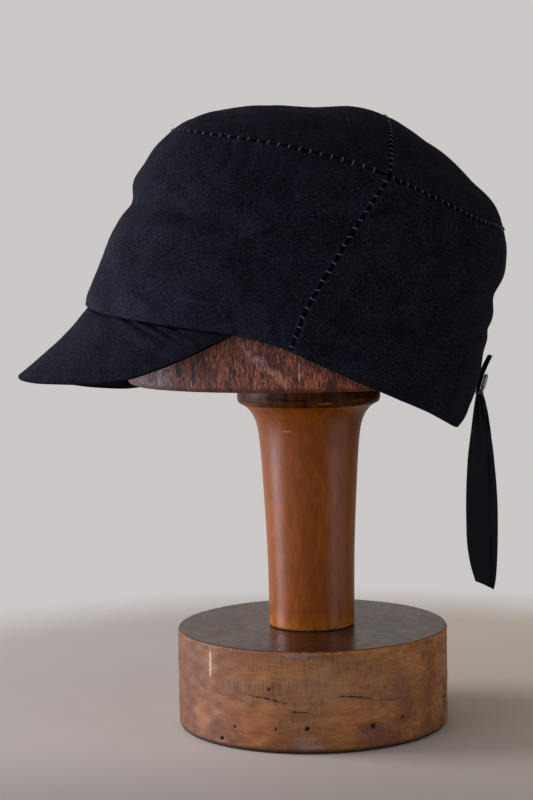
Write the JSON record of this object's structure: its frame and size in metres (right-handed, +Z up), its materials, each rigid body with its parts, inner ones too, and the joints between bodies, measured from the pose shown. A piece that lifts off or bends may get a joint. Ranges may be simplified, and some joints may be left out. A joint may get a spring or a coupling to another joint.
{
  "type": "field cap on hat stand",
  "caption": "Soft cloth field cap with a short drooping peak and a back ribbon, seated on an oval block with a turned column and a round base.",
  "frame": {"origin": "centre of the base's underside, which stands on a table", "axes": "+Z up along the column, -Y towards the tip of the peak, +X towards the wearer's left"},
  "size_m": [0.1722, 0.2575, 0.3261],
  "materials": {
    "cap_cloth": "matt blue-black wool and linen cloth",
    "ribbon_tape": "smooth woven tape",
    "horn": "polished grey horn",
    "block_wood": "dry, open grained",
    "column_wood": "waxed, worn smooth",
    "base_wood": "worn, checked and stained"
  },
  "bodies": {
    "root": {"side_front": "cap_cloth", "side_back": "cap_cloth", "crown_top_front": "cap_cloth", "crown_top_back": "cap_cloth", "peak": "cap_cloth", "back_tab": "cap_cloth", "tie_ribbon": "ribbon_tape", "tab_button": "horn", "hat_block": "block_wood", "column": "column_wood", "base": "base_wood"}
  },
  "joints": []
}
